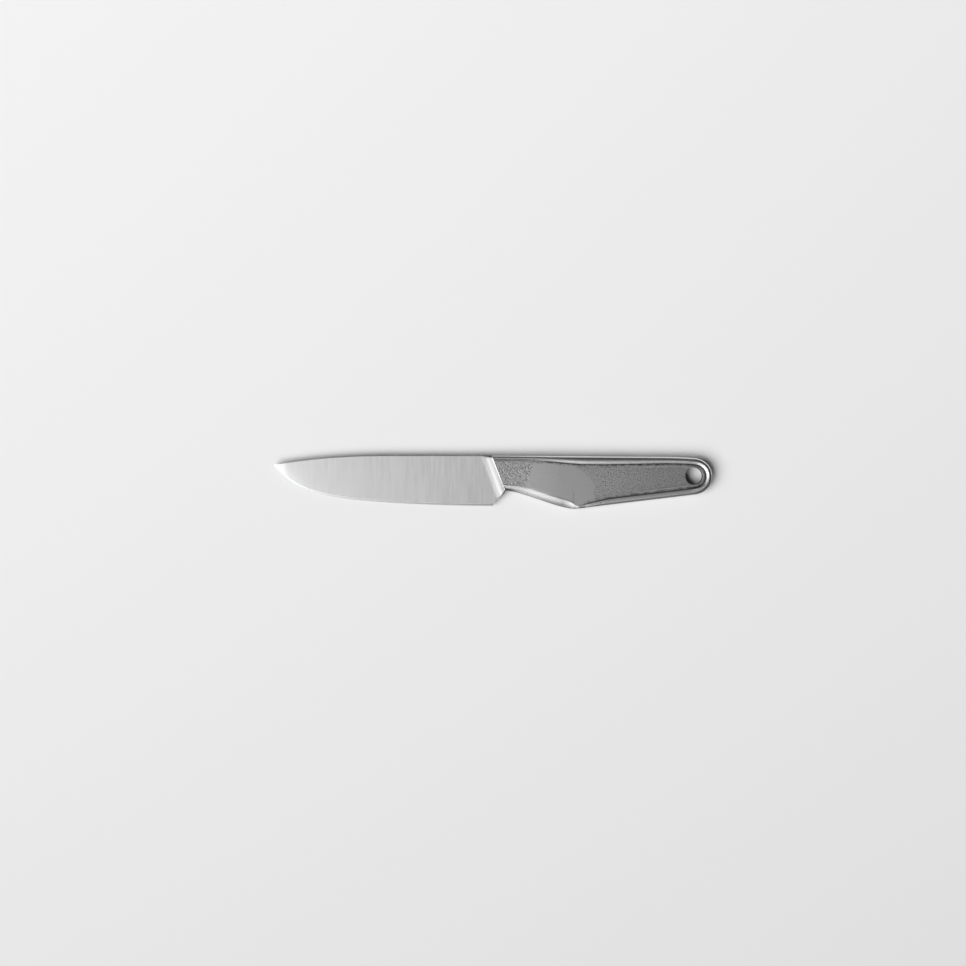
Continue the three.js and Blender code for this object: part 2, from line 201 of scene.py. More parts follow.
# painted shade on the outer part of the round
GROOVE_OUTER_SHADE = 0.1
# painted shade in the corner between the bolster and the groove
GROOVE_CORNER_SHADE = 0.45
# painted shade dimming the highlight on the spine side's inner slope near the front
FRONT_SLOPE_SHADE = 0.5
# painted dark reflection in a line round the butt's outer slope
BUTT_LINE_SHADE = 0.35
# painted shade dimming the butt's highlight at its upper right
UPPER_BUTT_SHADE = 0.1
# share at the belly of the pale side band, which is wear and a painted reflection along the edge
SIDE_WEAR_AND_SHEEN_AT_BELLY = 0.3
# painted sheen on the band round the lower butt
LOWER_BUTT_SHEEN = 0.6

# Skin of the web: a patch ground smooth, and pits, cracks and smudges around it, with painted shade and a
# painted highlight
WEB_SEEDS = (31.9, 47.1)  # of the upper and the lower face
PATCH_FRONT = 22.1
PATCH_REAR = 52
PATCH_REAR_Y = -17
PATCH_REAR_BOW = 0.075
PATCH_RAGGED = 1.6
PATCH_EDGE = 0.8
PATCH_FROM_FOOT = (0.5, 1.3)
PATCH_FOOT_RAGGED = 0.4
CRACKED_LENGTH = 12  # the cracks fade over this stretch behind the patch's front edge
CRACK_SIZE = 1.3
CRACK_WIDTH = 0.12
CRACK_BREAK_SIZE = 1.5  # times the cracks' size
CRACK_BREAK_SEED = 5.5
CRACK_BREAKS = (-0.2, 0.1)
CRACK_DEPTH = 0.08
SPECKLE_RANGE = (0.3, 0.9)
PIT_DEPTH = 0.05
GRAIN_SIZE = 0.7
GRAIN_DEPTH = 0.04
SMUDGE_SIZE = 2.2
SMUDGE_RANGE = (-0.4, 0.4)
SMUDGE_REACH = 1.3
SPINE_CORNER = 0.35  # least weight of the crease along the spine side
SPINE_CORNER_Y = (-8, -4)
DIE_LINE_FROM_FOOT = 1.35
DIE_LINE_WIDTH = 0.22
DIE_LINE_HEIGHT = 0.06
DIE_LINE_X = (68, 74)  # it sets in here
# painted shade: the web darker towards the butt
WEB_SHADE = 0.17
WEB_SHADE_X = (40, 95)
CRACK_STAIN = 0.45
WEB_PIT_STAIN = 0.25
SMUDGE_DIRT_AND_SHADE = 0.5
# painted highlight along the die line
DIE_LINE_SHINE = 0.4

# Fineness of the meshes
BLADE_STEPS = 420
BLADE_LAST_STEP = 0.9995  # just short of the tip
BLADE_STEP_POWER = 1.3  # stations draw together towards the tip
BLADE_COLUMNS = np.concatenate([
    np.linspace(0, 0.012, 6),  # corner of the spine
    np.linspace(0.03, 0.94, 28),  # flat grind
    np.linspace(0.955, 1, 6),  # just above the bevel's shoulder
    np.linspace(1.1, 2, 10),  # bevel
])
BOLSTER_STEPS = 56
BOLSTER_ROWS = 130
GROOVE_STEPS = 170
REAR_STEPS = 220
BUTT_STEPS = 70
RIM_ROUND_STEPS = 18
RIM_LAND_STEPS = 4
RIM_SLOPE_STEPS = 16
WEB_COLUMNS = 84
HOLE_RINGS = 26
HOLE_RING_POWER = 1.6  # rings draw together towards the hole

# Steel. Lines, mottle and grain are features to the metre along each axis, and depths are metres.
NOISE_DETAIL = 3
NOISE_RANGE = (0.3, 0.7)
SATIN_COLOUR = (0.585, 0.585, 0.59)
GRINDING_LINES = (3000, 60, 60)
GRINDING_SHADES = 0.04
GRINDING_ROUGHNESS = 0.03
GRINDING_DEPTH = 0.000001
POLISHED_ROUGHNESS = 0.9  # as a part of the satin's
MOTTLE = (1500, 1500, 1500)
MOTTLE_RANGE = (0.3, 0.55)
FORGED_SHADES = 0.4
SMOOTHED_SHADES = 0.06
FORGED_GRAIN = (3500, 3500, 3500)
FORGED_GRAIN_DEPTH = 0.000012
# pale for wear and for painted sheen, dark for dirt and for painted shade
WEAR_AND_SHEEN_COLOUR = (0.9, 0.9, 0.9)
GRIME_AND_SHADE_COLOUR = (0.03, 0.029, 0.028)

# Stage, in metres, with the camera's lens and sensor in millimetres
FLOOR_REACH = 6
FLOOR_GAP = 0.0001  # between the floor and the knife
FLOOR_SHADE_DIRECTION = (0.26, 0.97, 0)  # painted light and shade: the floor's colour gets lighter this way
FLOOR_SHADE_REACH = 0.29
FLOOR_DARK = 0.765
FLOOR_LIGHT = 0.99
FLOOR_ROUGHNESS = 0.9
FLOOR_GLOSS = 0.1
ROOM_LIGHT_DIRECTION = (-0.5, -0.5, 0.7)
ROOM_LIGHT_START = 0.3
ROOM_DARK = 0.05
ROOM_LIGHT = 0.12
CAMERA_LENS = 70
CAMERA_SENSOR = 36
PHOTO_WIDTH = 0.483  # what the photo spans at the knife
CAMERA_AIM = (-0.00476, -0.00033)

# Worked out from the sizes above
BOLSTER_HEIGHT = BLADE_HEIGHT - HEEL_HEIGHT
BOLSTER_HEEL_X = BOLSTER_FRONT_LEAN * BOLSTER_HEIGHT - BOLSTER_WIDTH
HEEL_X = BOLSTER_HEEL_X - HEEL_SLANT
TIP_X = HEEL_X - BLADE_LENGTH
SPINE_CURVE_START = TIP_X + SPINE_CURVE_LENGTH
EDGE_TIP_RISE = BLADE_HEIGHT - TIP_DROP - EDGE_SWEEP
RUN_OUT_SHARE = BOLSTER_HEIGHT / (BLADE_HEIGHT - BEVEL_HEIGHT)  # bolster's lower end, from spine to bevel
GRIP_X = BOLSTER_REAR_LEAN * GRIP_HEIGHT
BUTT_START = HANDLE_LENGTH - BUTT_ROUND_LENGTH
SPINE_BEND_START = BUTT_START - SPINE_BEND_LENGTH
SPINE_END_SLOPE = SPINE_SLOPE + 2 * SPINE_BEND_DROP / SPINE_BEND_LENGTH
GROOVE_END = BELLY_FROM_BOLSTER + GROOVE_RUN_OUT
CREST_HALF = HANDLE_THICKNESS / 2
BOLSTER_HALF = CREST_HALF - BOLSTER_DIP
HOLE_X = HANDLE_LENGTH - HOLE_FROM_BUTT
LAND_START = HOLE_X - HOLE_DIAMETER / 2 - HOLE_LAND


def mix(start, end, share):
    return start + (end - start) * share


def smooth(value, low, high):
    """0 below low, 1 above high, with an eased rise between them."""
    share = np.clip((value - low) / (high - low), 0, 1)
    return share * share * (3 - 2 * share)


def swift(value, start, end):
    """0 at the start, 1 at the end, steep at first and level at last."""
    left = np.clip((end - value) / (end - start), 0, 1)
    return 1 - left * left


def ease(distance, radius):
    """How far a rounded edge of this radius lies below the sharp one, at a distance in from it."""
    inside = np.clip(1 - distance / radius, 0, 1)
    return radius * (1 - np.sqrt(1 - inside ** 2))


def bezier(points, t):
    """Places along a cubic curve with four control points."""
    weights = np.array([(1 - t) ** 3, 3 * t * (1 - t) ** 2, 3 * t * t * (1 - t), t ** 3])
    return weights.T @ np.array(points, dtype=float)


def hump(value, rise, fall):
    """0 before the rise, 1 between the rise and the fall, 0 again after the fall."""
    return smooth(value, *rise) * (1 - smooth(value, *fall))


def field(plan, size, seed):
    """Smooth noise over the plan, about -1 to 1, with features of the given size."""
    return np.array([noise.noise((x / size, y / size, seed)) for x, y in plan])


def layered(plan, coarse, fine, fine_share, seed):
    """Coarse noise with a share of finer noise on it."""
    return field(plan, coarse, seed) + fine_share * field(plan, fine, seed + 1)


def pits(plan, size, level, seed):
    """Scattered hollows of about this size, from 0 between them to 1 at their floors."""
    return smooth(field(plan, size, seed), level, level + PIT_RISE)


def cracks(plan, size, width, seed):
    """Short wandering cracks: the lines on which one noise changes sign, broken up by another."""
    lines = 1 - smooth(np.abs(field(plan, size, seed)), 0, width)
    breaks = field(plan, CRACK_BREAK_SIZE * size, seed + CRACK_BREAK_SEED)
    return lines * smooth(breaks, *CRACK_BREAKS)


def crease_shade_weight(x, y):
    """0 along the belly, 1 along the spine side and round the butt, where the painted crease shade is
    darkest.
    """
    return np.maximum(smooth(y, *SHADED_CREASE_Y), smooth(x, *SHADED_CREASE_X))


# From the knife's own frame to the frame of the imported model
RIM_LOW, RIM_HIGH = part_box("handle_rim")
ORIGIN = np.array([
    RIM_HIGH.x - HANDLE_LENGTH * MM,
    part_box("bolster")[1].y,
    (RIM_LOW.z + RIM_HIGH.z) / 2,
])


def grid_quads(rows, columns):
    corner = np.arange(rows * columns).reshape(rows, columns)
    around = [corner[:-1, :-1], corner[:-1, 1:], corner[1:, 1:], corner[1:, :-1]]
    return np.stack(around, axis=-1).reshape(-1, 4)


def twice_areas(plan, quads):
    """Twice each quad's area in the plan, above 0 where its corners run anticlockwise."""
    a, b, c, d = (plan[quads[:, corner]] for corner in range(4))
    return np.cross(c - a, d - b)


def add_piece(node, material, plan, quads, upper, lower):
    """A closed piece: an upper and a lower skin over one plan, with walls along the plan's border.

    Each skin is its height from the middle plane and its marks, which the material reads by name.
    """
    if twice_areas(plan, quads).sum() < 0:
        quads = quads[:, ::-1]
    edges = np.stack([quads, np.roll(quads, -1, axis=1)], axis=2).reshape(-1, 2).tolist()
    known = {tuple(edge) for edge in edges}
    border = np.array([edge for edge in edges if (edge[1], edge[0]) not in known])
    count = len(plan)
    walls = np.column_stack([border[:, 0], border[:, 0] + count, border[:, 1] + count, border[:, 1]])
    faces = np.vstack([quads, quads[:, ::-1] + count, walls])
    places = np.vstack([
        np.column_stack([plan, upper[0]]),
        np.column_stack([plan, -lower[0]]),
    ])

    mesh = bpy.data.meshes.new(node)
    mesh.from_pydata((places * MM + ORIGIN).tolist(), [], faces.tolist())
    mesh.shade_smooth()
    mesh.set_sharp_from_angle(angle=SHARP_ANGLE)
    for mark in upper[1]:
        values = np.concatenate([upper[1][mark], lower[1][mark]]).astype(np.float32)
        mesh.attributes.new(mark, "FLOAT", "POINT").data.foreach_set("value", values)
    mesh.materials.append(material)

    piece = bpy.data.objects.new(node + "_finished", mesh)
    bpy.context.collection.objects.link(piece)
    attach(piece, "root")
    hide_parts(node)


# Blade

def spine_y(x):
    return -TIP_DROP * np.clip((SPINE_CURVE_START - x) / SPINE_CURVE_LENGTH, 0, None) ** SPINE_CURVE_POWER


def edge_y(x):
    share = (HEEL_X - x) / BLADE_LENGTH
    return -BLADE_HEIGHT + EDGE_SWEEP * share ** 2 + EDGE_TIP_RISE * share ** EDGE_TIP_POWER


def root_half(down):
    """Half the blade's thickness at the bolster, from the spine (0) to the bevel's shoulder (1)."""
    return mix(SPINE_THICKNESS, SHOULDER_THICKNESS, down) / 2


def make_blade(material):
    """Stations run to the tip, each from the spine (0) to the bevel's shoulder (1) and the edge (2)."""
    stations = 1 - (1 - np.linspace(0, BLADE_LAST_STEP, BLADE_STEPS)) ** BLADE_STEP_POWER
    along, down = np.meshgrid(stations, BLADE_COLUMNS, indexing="ij")
    spine_x = mix(-BOLSTER_WIDTH, TIP_X, along)
    edge_x = mix(HEEL_X, TIP_X, along)
    height = spine_y(spine_x) - edge_y(edge_x)
    bevel = np.minimum(BEVEL_HEIGHT / height, BEVEL_LIMIT)
    share = np.where(down < 1, (1 - bevel) * down, 1 - bevel * (2 - down))

    run_out = BOLSTER_HEIGHT / BLADE_HEIGHT
    reach = BOLSTER_HEEL_X - mix(-BOLSTER_WIDTH, HEEL_X, run_out)
    along_bolster = reach * np.minimum(share / run_out, (1 - share) / (1 - run_out))
    bend = along_bolster * (1 - smooth(along * BLADE_LENGTH, 0, BLADE_BEND_FADE))
    x = mix(spine_x, edge_x, share) + bend
    y = mix(spine_y(spine_x), edge_y(edge_x), share)
    plan = np.column_stack([x.ravel(), y.ravel()])

    # Near the tip the blade is low, so the bevel keeps its slope and the spine thins out.
    shoulder = SHOULDER_THICKNESS * bevel * height / BEVEL_HEIGHT
    spine = np.minimum(mix(SPINE_THICKNESS, POINT_THICKNESS, along), shoulder + GRIND_SLOPE * height)
    half = mix(spine, shoulder, np.minimum(down, 1)) / 2
    half = np.where(down > 1, mix(shoulder, np.minimum(EDGE_FLAT, shoulder), down - 1) / 2, half)
    half = half - ease(share * height, SPINE_EASE)
    # the bevel's polish darkens its colour: painted shade that dims its highlight
    skin = (half.ravel(), {"polish": smooth(down.ravel(), *BEVEL_POLISH)})
    add_piece("blade", material, plan, grid_quads(*x.shape), skin, skin)


# Bolster

def end_round(distance, radius):
    return np.sqrt(1 - np.clip(1 - distance / radius, 0, 1) ** 2)


def make_bolster(material):
    """Rows run along the bolster from the spine down, columns from the blade to the handle."""
    down, across = np.meshgrid(
        0.5 - 0.5 * np.cos(np.pi * np.linspace(0, 1, BOLSTER_ROWS)),
        np.sin(0.5 * np.pi * np.linspace(0, 1, BOLSTER_STEPS)),
        indexing="ij",
    )
    bulge = BOLSTER_HEEL_BULGE * math.sqrt(0.5)
    swell = 4 * across * (1 - across) * down ** BOLSTER_BULGE_POWER * bulge
    x = mix(mix(-BOLSTER_WIDTH, BOLSTER_HEEL_X, down), GRIP_X * down, across) + swell
    y = -mix(BOLSTER_HEIGHT, GRIP_HEIGHT, across) * down - swell
    plan = np.column_stack([x.ravel(), y.ravel()])

    length = math.hypot(GRIP_X, GRIP_HEIGHT)
    from_ends = np.minimum(down, 1 - down) * length
    crown = mix(SIDE_FLAT / 2, BOLSTER_HALF, end_round(from_ends, BOLSTER_END_ROUND))
    rise = across ** BOLSTER_RISE_POWER
    half = mix(root_half(RUN_OUT_SHARE * down), crown, rise)
    half = half - ease((1 - across) * BOLSTER_WIDTH, BOLSTER_REAR_EASE)
    half = half - ease(down * length, SPINE_EASE) * (1 - rise)
    # polish darkens the colour towards the handle, painted shade against the highlight there, and the loss
    # along the rear edge is a painted highlight
    polish = BOLSTER_FIRST_POLISH * smooth(across, *BOLSTER_FIRST_RISE)
    polish = polish + (1 - BOLSTER_FIRST_POLISH) * smooth(across, *BOLSTER_SECOND_RISE)
    polish = polish * (1 - BOLSTER_REAR_LOSS * smooth(across, *BOLSTER_REAR_FALL))
    skin = (half.ravel(), {"polish": polish.ravel()})
    add_piece("bolster", material, plan, grid_quads(*x.shape), skin, skin)


# Handle outline, shared by the rim and the web

def handle_top_y(x):
    bend = np.maximum(0, (x - SPINE_BEND_START) / SPINE_BEND_LENGTH)
    return -SPINE_SLOPE * x - SPINE_BEND_DROP * bend ** 2


def handle_bottom_y(x):
    rear = -BELLY_DEPTH + REAR_SLOPE * (x - BELLY_FROM_BOLSTER)
    heights = [-GRIP_HEIGHT, -GRIP_HEIGHT - GROOVE_LEAD, -BELLY_DEPTH + BELLY_LEAD, -BELLY_DEPTH]
    groove = bezier(heights, (x - GRIP_X) / (BELLY_FROM_BOLSTER - GRIP_X))
    return np.where(x < BELLY_FROM_BOLSTER, groove, rear)


def web_half(x):
    return CREST_HALF - mix(WEB_RECESS_AT_BOLSTER, WEB_RECESS, smooth(x, 0, WEB_RISE_LENGTH))


def stations_from(start):
    """Places along the handle, from its front to where the butt's round starts."""
    groove = np.linspace(start, BELLY_FROM_BOLSTER, GROOVE_STEPS, endpoint=False)
    return np.concatenate([groove, np.linspace(BELLY_FROM_BOLSTER, BUTT_START, REAR_STEPS + 1)])


def spine_side():
    x = stations_from(0)
    flare_end = RIM_FLARE_START + RIM_FLARE_LENGTH
    full_width = mix(RIM_WIDTH_AT_SPINE, RIM_WIDTH_AT_BUTT, smooth(x, flare_end, BUTT_START))
    return {
        "border": np.column_stack([x, handle_top_y(x)]),
        "width": mix(RIM_WIDTH_AT_BOLSTER, full_width, smooth(x, RIM_FLARE_START, flare_end)),
        "crest_share": np.full_like(x, SPINE_CREST_SHARE),
        "land_share": np.full_like(x, SPINE_LAND_SHARE),
        "round_power": np.full_like(x, RIM_ROUND_POWER),
        "crest": mix(web_half(x), CREST_HALF, smooth(x, RIM_RISE_START, RIM_RISE_START + RIM_RISE_LENGTH)),
        "side": np.full_like(x, SIDE_FLAT / 2),
        "lean": 1 - smooth(x, 0, LEAN_FADE_LENGTH),
    }


def butt_round():
    upper_reach = BUTT_UPPER_ROUNDNESS * BUTT_ROUND_LENGTH
    lower_reach = BUTT_LOWER_ROUNDNESS * BUTT_ROUND_LENGTH
    top_y = float(handle_top_y(BUTT_START))
    bottom_y = float(handle_bottom_y(BUTT_START))
    end = (HANDLE_LENGTH, -BUTT_END_DEPTH)
    upper = [
        (BUTT_START, top_y),
        (BUTT_START + upper_reach, top_y - SPINE_END_SLOPE * upper_reach),
        (HANDLE_LENGTH, mix(-BUTT_END_DEPTH, top_y, BUTT_UPPER_ROUNDNESS)),
        end,
    ]
    lower = [
        end,
        (HANDLE_LENGTH, mix(-BUTT_END_DEPTH, bottom_y, BUTT_LOWER_ROUNDNESS)),
        (BUTT_START + lower_reach, bottom_y + REAR_SLOPE * lower_reach),
        (BUTT_START, bottom_y),
    ]
    t = np.linspace(0, 1, BUTT_STEPS + 1)
    border = np.vstack([bezier(upper, t[1:]), bezier(lower, t[1:-1])])
    turn = np.concatenate([t[1:], 1 + t[1:-1]])
    from_spine = smooth(turn, 0, BUTT_FADE)
    to_rear = smooth(turn, 1, 2)
    return {
        "border": border,
        "width": mix(RIM_WIDTH_AT_BUTT, RIM_WIDTH_AT_REAR, to_rear),
        "crest_share": mix(mix(SPINE_CREST_SHARE, BUTT_CREST_SHARE, from_spine), REAR_CREST_SHARE, to_rear),
        "land_share": mix(mix(SPINE_LAND_SHARE, BUTT_LAND_SHARE, from_spine), REAR_LAND_SHARE, to_rear),
        "round_power": mix(RIM_ROUND_POWER, REAR_ROUND_POWER, to_rear),
        "crest": np.full_like(turn, CREST_HALF),
        "side": np.full_like(turn, SIDE_FLAT / 2),
        "lean": np.zeros_like(turn),
    }


def belly_side():
    x = stations_from(GRIP_X)[::-1]
    flare = swift(x, GROOVE_END, GROOVE_END + REAR_FLARE_LENGTH)
    groove = swift(x, GROOVE_END, GROOVE_END - GROOVE_TAPER_LENGTH)
    rounded = 1 - smooth(x, GROOVE_END, GROOVE_END + GROOVE_FADE_LENGTH)
    from_bolster = smooth(x, GRIP_X, GRIP_X + LEAN_FADE_LENGTH)
    groove_width = mix(GROOVE_ROUND_AT_BOLSTER, GROOVE_ROUND, from_bolster)
    steep = np.where(x < GROOVE_END, 1 - groove, 1 - smooth(x, GROOVE_END, GROOVE_END + BELLY_SIDE_FADE))
    return {
        "border": np.column_stack([x, handle_bottom_y(x)]),
        "width": np.where(
            x < GROOVE_END,
            mix(RIM_WIDTH_AT_BELLY, groove_width, groove),
            mix(RIM_WIDTH_AT_BELLY, RIM_WIDTH_AT_REAR, flare),
        ),
        "crest_share": mix(REAR_CREST_SHARE, GROOVE_CREST_SHARE, rounded),
        "land_share": mix(REAR_LAND_SHARE, GROOVE_LAND_SHARE, rounded),
        "round_power": mix(REAR_ROUND_POWER, GROOVE_ROUND_POWER, rounded),
        "crest": mix(web_half(x), CREST_HALF, swift(x, GROOVE_END, GROOVE_END + REAR_RISE_LENGTH)),
        "side": mix(SIDE_FLAT, SIDE_FLAT_AT_BELLY, steep) / 2,
        "lean": from_bolster - 1,
    }


def unit(vectors):
    return vectors / np.linalg.norm(vectors, axis=-1, keepdims=True)


def handle_sections():
    """The rim's border and sizes all round the handle, and the foot where it meets the web."""
    sides = [spine_side(), butt_round(), belly_side()]
    ring = {key: np.concatenate([side[key] for side in sides]) for key in sides[0]}
    along = unit(np.gradient(ring["border"], axis=0))
    inward = np.column_stack([along[:, 1], -along[:, 0]])
    bolster_line = unit(np.array([BOLSTER_REAR_LEAN, -1.0])) * np.sign(ring["lean"])[:, None]
    inward = unit(mix(inward, bolster_line, np.abs(ring["lean"])[:, None]))
    ring["inward"] = inward
    ring["foot"] = ring["border"] + inward * ring["width"][:, None]
    return ring


def make_rim(material, ring):
    """Rows follow the handle's border, columns cross the rim from the side to the web."""
    quarter = np.linspace(0, 0.5 * np.pi, RIM_ROUND_STEPS + 1)
    land = np.linspace(0, 1, RIM_LAND_STEPS + 1)[1:]
    inner = np.linspace(0, 1, RIM_SLOPE_STEPS + 1)[1:]
    crest_share = ring["crest_share"][:, None]
    land_end = crest_share + ring["land_share"][:, None]
    power = 2 / ring["round_power"][:, None]
    shares = np.hstack([
        crest_share * (1 - np.cos(quarter).clip(0) ** power),
        mix(crest_share, land_end, land),
        mix(land_end, 1, inner),
    ])
    crest = ring["crest"][:, None]
    foot = web_half(ring["foot"][:, :1])
    rows = len(crest)
    heights = np.hstack([
        mix(ring["side"][:, None], crest, np.sin(quarter) ** power),
        np.repeat(crest, RIM_LAND_STEPS, axis=1),
        mix(crest, foot, mix(inner, smooth(inner, 0, 1), RIM_SLOPE_EASE)),
    ])
    places = ring["border"][:, None] + ring["inward"][:, None] * (ring["width"][:, None] * shares)[:, :, None]
    plan = places.reshape(-1, 2)
    quads = grid_quads(rows, shares.shape[1])

    across = shares.ravel()
    from_side = (shares * ring["width"][:, None]).ravel()
    step = np.repeat((crest - foot).ravel(), shares.shape[1])
    groove = np.repeat(ring["round_power"] < RIM_ROUND_POWER, shares.shape[1])

    def skin(seed):
        x, y = plan.T
        waves = layered(plan, *RIM_WAVES, seed)
        pitted = pits(plan, RIM_PIT_SIZE, RIM_PIT_LEVEL, seed + 2)
        pitted = pitted * np.where(groove, smooth(x, *GROOVE_PITS_X), 1)
        on_top = hump(across, *RIM_TOP)
        side = 1 - smooth(from_side, *SIDE_REACH)
        above = smooth(y, *SPINE_SIDE_Y)
        behind = smooth(x, *REAR_SIDE_X) * (1 - above)
        butt = smooth(x, *BUTT_X)
        lower = smooth(-y, *LOWER_BUTT_DEPTH)
        band = hump(across, *BUTT_BAND)

        # painted shade in the crease at the rim's foot
        crease = smooth(across, *CREASE_SHARE) * smooth(step, *CREASE_STEP)
        crease = crease * mix(CREASE_SHADE_AT_BELLY, RIM_CREASE_SHADE, crease_shade_weight(x, y))
        corner = 1 - smooth(x - GRIP_X, *GROOVE_CORNER_LENGTH)
        corner = corner * (1 - smooth(across, *GROOVE_CORNER_SHARE)) * groove
        front_slope_shade = above * smooth(across, *FRONT_SLOPE_SHARE) * (1 - smooth(x, *FRONT_SLOPE_X))
        butt_line = butt * np.exp(-((from_side - BUTT_LINE_FROM_SIDE) / BUTT_LINE_WIDTH) ** 2)
        # dark pits, a darker outer side along the rear edge, and painted shade on the groove, in its corner
        # by the bolster, on the front of the spine side's slope and round the butt
        stain_and_shade = (
            RIM_PIT_STAIN * pitted * on_top
            + REAR_SIDE_DARKENING * side * behind
            + groove * (GROOVE_SHADE + GROOVE_OUTER_SHADE * hump(across, *GROOVE_OUTER))
            + GROOVE_CORNER_SHADE * corner
            + FRONT_SLOPE_SHADE * front_slope_shade
            + BUTT_LINE_SHADE * butt_line
            + UPPER_BUTT_SHADE * butt * band * (1 - lower)
        )
        # pale side band: wear, and a painted reflection along the edge; painted sheen on the lower butt's
        # band
        side_wear_and_sheen = side * mix(SIDE_WEAR_AND_SHEEN_AT_BELLY, 1, above) * (1 - behind)
        hollows = WAVE_DEPTH * np.abs(waves) + RIM_PIT_SHARE * PIT_DEPTH * pitted
        marks = {
            "polish": np.where(groove, 1, on_top) * (1 - PIT_DULLING * pitted),
            "wear_and_sheen": side_wear_and_sheen + LOWER_BUTT_SHEEN * butt * lower * band,
            "grime_and_shade": np.clip(crease + stain_and_shade, 0, 1),
        }
        return heights.ravel() - on_top * hollows, marks

    upper, lower = (skin(seed) for seed in RIM_SEEDS)
    add_piece("handle_rim", material, plan, quads, upper, lower)


def make_web(material, ring):
    """Strips from foot to foot across the handle, then rings about the hanging hole."""
    feet = ring["foot"]
    top = feet
    bottom = feet[::-1]
    steps = GROOVE_STEPS + REAR_STEPS + 1
    last = int(np.argmax(np.minimum(top[:steps, 0], bottom[:steps, 0]) >= LAND_START))
    across = np.linspace(0, 1, WEB_COLUMNS)
    strips = mix(top[:last + 1, None], bottom[:last + 1, None], across[None, :, None])
    strip_quads = grid_quads(last + 1, WEB_COLUMNS)

    far_feet = feet[last + 1:len(feet) - last - 1]
    outline = np.vstack([strips[last][::-1], far_feet])
    behind_hole = feet[feet[:, 0] >= HOLE_X]
    centre = np.array([HOLE_X, mix(behind_hole[0, 1], behind_hole[-1, 1], 0.5)])
    bore = centre + unit(outline - centre) * HOLE_DIAMETER / 2
    rings = np.linspace(0, 1, HOLE_RINGS)[:-1] ** HOLE_RING_POWER
    around = mix(bore[None], outline[None], rings[:, None, None]).reshape(-1, 2)

    strip_count = strips.shape[0] * strips.shape[1]
    plan = np.vstack([strips.reshape(-1, 2), far_feet, around])
    rim_index = np.concatenate([
        np.arange(last * WEB_COLUMNS, strip_count)[::-1],
        strip_count + np.arange(len(far_feet)),
    ])
    ring_index = strip_count + len(far_feet) + np.arange(len(around)).reshape(len(rings), -1)
    loops = np.vstack([ring_index, rim_index])
    after = np.roll(loops, -1, axis=1)
    ring_quads = np.stack([loops[:-1], after[:-1], after[1:], loops[1:]], axis=-1).reshape(-1, 4)
    if twice_areas(plan, strip_quads[:1])[0] * twice_areas(plan, ring_quads[:1])[0] < 0:
        ring_quads = ring_quads[:, ::-1]
    quads = np.vstack([strip_quads, ring_quads])

    tree = kdtree.KDTree(len(feet))
    for index, place in enumerate(feet):
        tree.insert((*place, 0), index)
    tree.balance()
    nearest = [tree.find((*place, 0)) for place in plan]
    foot_index = np.array([found[1] for found in nearest])
    from_foot = np.array([found[2] for found in nearest])
    from_hole = np.linalg.norm(plan - centre, axis=1) - HOLE_DIAMETER / 2
    x, y = plan.T
    step = (ring["crest"] - web_half(feet[:, 0]))[foot_index]
    cornered = np.maximum(smooth(step, *CREASE_STEP), SPINE_CORNER * smooth(y, *SPINE_CORNER_Y))

    def skin(seed):
        ragged = PATCH_RAGGED * layered(plan, *PATCH_OUTLINE, seed)
        patch_front = x - PATCH_FRONT - BOLSTER_REAR_LEAN * y
        patch_rear = PATCH_REAR - PATCH_REAR_BOW * (y - PATCH_REAR_Y) ** 2 - x
        patch = smooth(patch_front + ragged, 0, PATCH_EDGE) * smooth(patch_rear + ragged, 0, PATCH_EDGE)
        clear = smooth(from_foot + PATCH_FOOT_RAGGED * ragged, *PATCH_FROM_FOOT)
        patch = patch * np.where(cornered > 0, clear, 1)
        rough = 1 - patch
        front = 1 - smooth(patch_front, 0, CRACKED_LENGTH)

        cracked = rough * front * cracks(plan, CRACK_SIZE, CRACK_WIDTH, seed + 2)
        pitted = rough * smooth(layered(plan, *WEB_SPECKLE, seed + 3), *SPECKLE_RANGE)
        grain = rough * field(plan, GRAIN_SIZE, seed + 6)
        # smudges of dirt and painted shade beside the creases
        smudge = rough * cornered * np.exp(-from_foot / SMUDGE_REACH)
        smudge = smudge * smooth(field(plan, SMUDGE_SIZE, seed + 7), *SMUDGE_RANGE)
        # painted shade in the crease along the rim's foot
        crease = cornered * np.exp(-(from_foot / CREASE_REACH) ** 2)
        crease = crease * mix(CREASE_SHADE_AT_BELLY, WEB_CREASE_SHADE, crease_shade_weight(x, y))
        die_line = np.exp(-((from_foot - DIE_LINE_FROM_FOOT) / DIE_LINE_WIDTH) ** 2)
        die_line = die_line * smooth(x, *DIE_LINE_X)

        heights = web_half(x) - ease(np.clip(from_hole, 0, None), HOLE_EASE)
        heights = heights - CRACK_DEPTH * cracked - PIT_DEPTH * pitted - GRAIN_DEPTH * np.abs(grain)
        heights = heights + DIE_LINE_HEIGHT * die_line
        # dark cracks and pits, dirt with painted shade beside the creases, painted shade in the creases and
        # towards the butt, and a painted highlight on the die line
        stain_and_shade = (
            CRACK_STAIN * cracked
            + WEB_PIT_STAIN * pitted
            + SMUDGE_DIRT_AND_SHADE * smudge
            + crease
            + WEB_SHADE * smooth(x, *WEB_SHADE_X)
            - DIE_LINE_SHINE * die_line
        )
        marks = {
            "polish": patch,
            # the hole's wall takes the darkest colour: dark scale, and painted shade in the bore
            "grime_and_shade": np.clip(np.where(from_hole < BORE_REACH, 1, stain_and_shade), 0, 1),
        }
        return heights, marks

    upper, lower = (skin(seed) for seed in WEB_SEEDS)
    add_piece("handle_web", material, plan, quads, upper, lower)


# Materials

